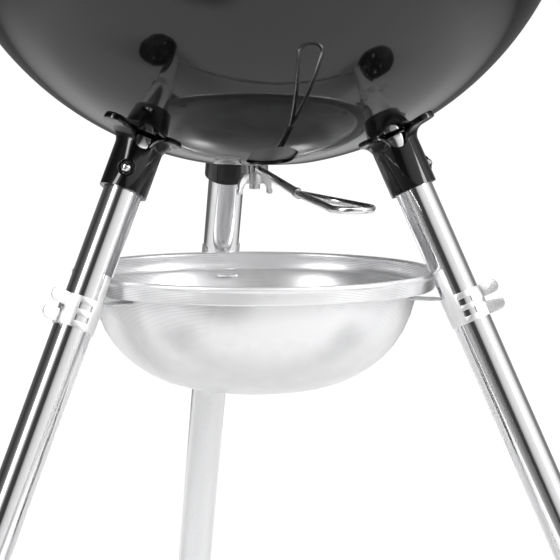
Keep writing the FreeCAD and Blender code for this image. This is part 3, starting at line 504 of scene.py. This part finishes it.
def make_ash_pan():
    """Deep spun dish with a rolled rim bead, an upright band and a step."""
    low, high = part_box("ash_pan")
    rim = high.z
    floor = low.z
    rim_r = PAN_RIM_R
    bead_r = PAN_BEAD_R
    wall = PAN_WALL
    band_low = rim - PAN_BAND_H
    step_r = PAN_STEP_R
    rise = rim - floor - PAN_CAP_DEPTH
    ball = (PAN_CAP_R**2 + rise**2) / (2 * rise)

    def dish(inset):
        rings = []
        for step in range(1, 12):
            reach = PAN_CAP_R * step / 12
            rings.append((reach, floor + inset + ball - math.sqrt(ball**2 - reach**2)))
        for reach, below, lean in PAN_SECTION:
            turn = math.radians(lean)
            height = rim - below * MM + inset * math.cos(turn)
            rings.append((reach * MM - inset * math.sin(turn), height))
        return rings

    rings = [(0.3 * MM, floor)] + dish(0)
    rings += [(step_r - 0.6 * MM, band_low - 3.5 * MM), (step_r - 0.2 * MM, band_low - 1.8 * MM)]
    rings += arc((step_r + 1.0 * MM, band_low - wall - 0.8 * MM), 0.8 * MM, 180, 90, 4)
    rings += [(rim_r - 4 * MM, band_low - wall)]
    rings += arc((rim_r - 2.7 * MM, band_low + 0.3 * MM), 1.5 * MM, -90, 0, 5)
    side_r = rim_r - 0.9 * MM
    bead_low = rim - 2 * bead_r
    rings += [(side_r, bead_low - 1.8 * MM), (side_r, bead_low - 0.6 * MM)]
    rings += arc((rim_r - bead_r, rim - bead_r), bead_r, -50, 215, 14)
    rings += [(side_r - wall - 1.6 * MM, band_low + 2.0 * MM), (rim_r - 4.4 * MM, band_low)]
    rings += [(step_r - wall + 1.2 * MM, band_low), (step_r - wall, band_low - 1.2 * MM)]
    rings += list(reversed(dish(wall))) + [(0.3 * MM, floor + wall)]
    piece = on_axis(lathe(rings, 192, closed=False))
    smooth(piece, 50)
    return outfit(piece, "ash_pan_dish", PAN_METAL, "ash_pan", ["ash_pan"])


def make_pan_ear(name):
    """Thin round-ended tab from the dish to one leg's clip."""
    clear_selection()
    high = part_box("ash_pan")[1]
    top = high.z - EAR_DROP
    wall = PAN_WALL
    bpy.ops.mesh.primitive_cylinder_add(vertices=48, radius=EAR_WIDTH / 2, depth=wall)
    ear = bpy.context.object
    edit(ear)
    mesh = bmesh.from_edit_mesh(ear.data)
    for vertex in mesh.verts:
        vertex.select_set(vertex.co.x < -1e-5)
    mesh.select_flush(True)
    bmesh.update_edit_mesh(ear.data)
    bpy.ops.transform.translate(value=(-EAR_LENGTH, 0, 0))
    leave_edit()
    reach = EAR_REACH - EAR_WIDTH / 2
    turn = Matrix.Rotation(math.radians(LEG_TURNS[name]), 4, "Z")
    place = Matrix.Translation((AXIS_X, AXIS_Y, top - wall / 2)) @ turn
    move_to(ear, place @ Matrix.Translation((reach, 0, 0)))
    smooth(ear)
    return outfit(ear, "pan_ear_" + name, PAN_METAL, "ash_pan")


# ---- legs ----
def make_leg(name):
    """Plated tube with rounded ends; the wheel legs have the axle's hole."""
    low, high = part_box("leg_" + name)
    length = (high.z - low.z - 2 * TUBE_R * math.sin(LEG_TILT)) / math.cos(LEG_TILT)
    half = length / 2
    inner = TUBE_R - TUBE_WALL
    ease = 0.6 * MM
    rings = arc((TUBE_R - ease, -half + ease), ease, -90, 0, 4)
    count = 24
    for step in range(1, count):
        rings.append((TUBE_R, -half + ease + (length - 2 * ease) * step / count))
    rings += arc((TUBE_R - ease, half - ease), ease, 0, 90, 4)
    rings += [(inner, half), (inner, -half)]
    leg = move_to(lathe(rings, 96), leg_place(name))
    if name != "rear":
        axle_low, axle_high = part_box("axle")
        middle = (axle_low + axle_high) / 2
        bpy.ops.mesh.primitive_cylinder_add(vertices=48, radius=5.05 * MM, depth=0.7)
        hole = move_to(
            bpy.context.object,
            Matrix.Translation(middle) @ Matrix.Rotation(math.radians(90), 4, "Y"),
        )
        subtract(leg, [hole])
    smooth(leg, 30)
    return outfit(leg, "leg_tube_" + name, TUBE, "kettle", ["leg_" + name])


# ---- the rest take their shape from the frame ----
NODE_FINISHES = (
    ("axle", ZINC, 0.0),
    ("vent_blades", DARK_STEEL, 0.0),
    ("vent_shaft", ZINC, 0.0004),
    ("pivot_washer", ZINC, 0.0002),
    ("vent_lever", BRIGHT_WIRE, 0.0),
    ("wing_nut", CLIP_METAL, 0.0004),
    ("lid_damper", DAMPER_METAL, 0.0),
    ("lid_damper_rivet", DAMPER_METAL, 0.0),
    ("lid_handle_grip", NYLON, 0.0),
    ("lid_handle_posts", ZINC, 0.0005),
    ("lid_heat_shield", DAMPER_METAL, 0.0003),
    ("lid_handle_nuts", ZINC, 0.0004),
    ("cooking_grate", BRIGHT_WIRE, 0.0),
    ("charcoal_grate", DARK_STEEL, 0.0),
    ("grate_brackets", ENAMEL, 0.0003),
    ("foot_cap", NYLON, 0.0008),
)


def main():
    make_bowl()
    make_lid()
    make_ash_pan()
    for name in LEG_TURNS:
        make_leg(name)
        make_pan_ear(name)
        finish_node("leg_socket_" + name, SOCKET_ENAMEL, 0.0003)
        finish_node("snap_button_" + name, BUTTON_METAL)
        finish_node("button_spring_" + name, DARK_STEEL, 0.0001)
        finish_node("pan_clip_" + name, CLIP_METAL, 0.0003)
    for name in ("left", "right"):
        finish_node("leg_plug_" + name, NYLON, 0.0005)
        finish_node("tyre_" + name, TYRE_PLASTIC, 0.0005)
        finish_node("wheel_" + name, TYRE_PLASTIC, 0.0005)
        finish_node("hub_cap_" + name, CAP_PLASTIC, 0.0004)
        finish_node("bowl_handle_" + name, ENAMEL)
        finish_node("bowl_handle_grip_" + name, NYLON, 0.0006)
    for node, material, bevel in NODE_FINISHES:
        finish_node(node, material, bevel)


# ---- floor, light and camera ----
TOWARD_CAMERA = math.radians(259.1)
ROOM_LEVELS = (
    (-180, 0.45), (-147, 0.16), (-123, 0.08), (-106, 0.04), (-92, 0.08), (-79, 0.12), (-68, 0.22),
    (-59, 0.9), (-36, 1.0), (-30, 0.5), (-22, 0.08), (-9, 0.05), (3, 0.05), (9, 0.45), (20, 0.72),
    (37, 0.87), (52, 1.0), (94, 1.0), (106, 0.58), (123, 0.2), (147, 0.26), (180, 0.45),
)
STRIP_LEVELS = (
    (-180, 0), (-58, 0), (-55, 1), (-43, 1), (-40, 0), (56, 0), (59, 1), (73, 1), (76, 0), (180, 0),
)
STRIP_POWER = 9.0        # the two tall strip lights, over the room's level
STRIP_LOW = 0.03          # sine of their lowest and highest elevation
STRIP_HIGH = 0.85
STRIP_FADE = 0.08
# The floor's colour shows only in reflections. It is painted white round the kettle and dark far
# away, and a painted dark patch in front on the left stands in for the darker room there.
SWEEP_R = 0.8             # white floor round the kettle, in reflections
SWEEP_FADE = 0.8
PAINTED_DARK_FROM = 0.45          # the darker room in front on the left starts here
PAINTED_DARK_PIVOT = 0.7
PAINTED_DARK_SLOPE = 0.23
PAINTED_DARK_FADE = 0.1


def seen_from_camera(x, y):
    """Distances to the camera's right and towards the camera, for a level place or direction."""
    across = x * -math.sin(TOWARD_CAMERA) + y * math.cos(TOWARD_CAMERA)
    toward = x * math.cos(TOWARD_CAMERA) + y * math.sin(TOWARD_CAMERA)
    return across, toward


def make_floor():
    """White sweep, plain white to the camera. Its colour, seen only in reflections, is a painted
    reflection: bright under the kettle, falling off far away and in front on the left.
    """
    clear_selection()
    bpy.ops.mesh.primitive_plane_add(size=60.0, location=(0, 0, -0.0005))
    floor = bpy.context.object
    floor.name = "studio_floor"
    finish = Finish("studio_white", (0.9, 0.9, 0.9), 0.0, 0.6)
    x, y = finish.axes((AXIS_X, AXIS_Y, 0.0))[:2]
    across, toward = seen_from_camera(x, y)
    reach = (x * x + y * y).root()
    far = ((reach - SWEEP_R) * (1 / SWEEP_FADE)).clamped(0.0, 1.0)
    edge = (toward - PAINTED_DARK_FROM) * (1 / PAINTED_DARK_FADE)
    side = ((toward - PAINTED_DARK_PIVOT) * PAINTED_DARK_SLOPE - across) * (1 / PAINTED_DARK_FADE)
    room = edge.clamped(0.0, 1.0) * side.clamped(0.0, 1.0)
    # painted reflection: the floor's colour darkens far away and in front on the left, seen only in
    # the kettle's reflections
    shade = finish.mixed(far.larger(room), (0.80, 0.80, 0.80), (0.10, 0.10, 0.10))
    finish.feed("Base Color", shade)
    ray = finish.node("ShaderNodeLightPath", {}, {})
    glow = finish.tree.nodes.new("ShaderNodeEmission")
    glow.inputs["Strength"].default_value = 1.05
    mix = finish.tree.nodes.new("ShaderNodeMixShader")
    output = finish.tree.nodes["Material Output"]
    finish.tree.links.new(ray.socket, mix.inputs[0])
    finish.tree.links.new(finish.shader.outputs[0], mix.inputs[1])
    finish.tree.links.new(glow.outputs[0], mix.inputs[2])
    finish.tree.links.new(mix.outputs[0], output.inputs["Surface"])
    floor.data.materials.append(finish.material)


CAMERA_HEADING = math.radians(10.91)
CAMERA_PITCH = math.radians(5.96)
CAMERA_ROLL = math.radians(0.22)
CAMERA_FROM_AXIS = Vector((-0.3384, -1.8566))
CAMERA_Z = 0.5181
CAMERA_LENS = 163.2


def make_camera():
    data = bpy.data.cameras.new("view")
    data.lens = CAMERA_LENS
    data.sensor_width = 36.0
    data.clip_end = 200
    camera = bpy.data.objects.new("view", data)
    bpy.context.scene.collection.objects.link(camera)
    heading, pitch = CAMERA_HEADING, CAMERA_PITCH
    ahead = Vector(
        (math.sin(heading) * math.cos(pitch), math.cos(heading) * math.cos(pitch), -math.sin(pitch))
    )
    right = Vector((math.cos(heading), -math.sin(heading), 0))
    up = right.cross(ahead)
    right_rolled = right * math.cos(CAMERA_ROLL) + up * math.sin(CAMERA_ROLL)
    up_rolled = up * math.cos(CAMERA_ROLL) - right * math.sin(CAMERA_ROLL)
    turn = Matrix((right_rolled, up_rolled, -ahead)).transposed().to_4x4()
    place = Vector((AXIS_X + CAMERA_FROM_AXIS.x, AXIS_Y + CAMERA_FROM_AXIS.y, CAMERA_Z))
    camera.matrix_world = Matrix.Translation(place) @ turn
    bpy.context.scene.camera = camera


def level_ramp(tree, share, levels):
    """Grey levels round the object: angles are to the right of straight towards the camera."""
    ramp = tree.nodes.new("ShaderNodeValToRGB")
    elements = ramp.color_ramp.elements
    while len(elements) < len(levels):
        elements.new(0.5)
    for element, (angle, level) in zip(elements, levels):
        element.position = (angle + 180) / 360
        element.color = (level, level, level, 1)
    tree.links.new(share.socket, ramp.inputs[0])
    return ramp.outputs[0]


def make_world():
    """Studio room: dark behind the camera's left shoulder, with a tall strip light each side."""
    world = bpy.data.worlds.new("studio")
    bpy.context.scene.world = world
    world.use_nodes = True
    tree = world.node_tree
    background = tree.nodes["Background"]
    where = tree.nodes.new("ShaderNodeTexCoord")
    split = tree.nodes.new("ShaderNodeSeparateXYZ")
    tree.links.new(where.outputs["Generated"], split.inputs[0])
    x, y, z = [Value(tree, socket) for socket in split.outputs]
    across, toward = seen_from_camera(x, y)
    side = across.angle_from(toward)
    share = side * (0.5 / math.pi) + 0.5
    room = level_ramp(tree, share, ROOM_LEVELS)
    strips = Value(tree, level_ramp(tree, share, STRIP_LEVELS))
    above = ((z - STRIP_LOW) * (1 / STRIP_FADE)).clamped(0.0, 1.0)
    below = ((STRIP_HIGH - z) * (1 / STRIP_FADE)).clamped(0.0, 1.0)
    power = strips * above * below * STRIP_POWER + 1.0
    # the camera itself sees plain white
    ray = tree.nodes.new("ShaderNodeLightPath")
    choose = tree.nodes.new("ShaderNodeMix")
    choose.data_type = "RGBA"
    tree.links.new(ray.outputs["Is Camera Ray"], choose.inputs[0])
    tree.links.new(room, choose.inputs[6])
    choose.inputs[7].default_value = (1, 1, 1, 1)
    camera_ray = Value(tree, ray.outputs["Is Camera Ray"])
    power = power * (1.0 - camera_ray) + camera_ray
    tree.links.new(choose.outputs[2], background.inputs["Color"])
    tree.links.new(power.socket, background.inputs["Strength"])


def make_light(name, place, target, size, power):
    data = bpy.data.lights.new(name, "AREA")
    data.shape = "RECTANGLE"
    data.size, data.size_y = size
    data.energy = power
    light = bpy.data.objects.new(name, data)
    bpy.context.scene.collection.objects.link(light)
    direction = Vector(target) - Vector(place)
    turn = direction.to_track_quat("-Z", "Y").to_matrix().to_4x4()
    light.matrix_world = Matrix.Translation(place) @ turn
    light.visible_camera = False


def make_studio():
    make_floor()
    make_camera()
    make_world()
    make_light("overhead", (0.0, -0.3, 2.6), (0, 0, 0.4), (3.0, 3.0), 34)
    bpy.context.scene.view_settings.view_transform = "Standard"


main()
make_studio()
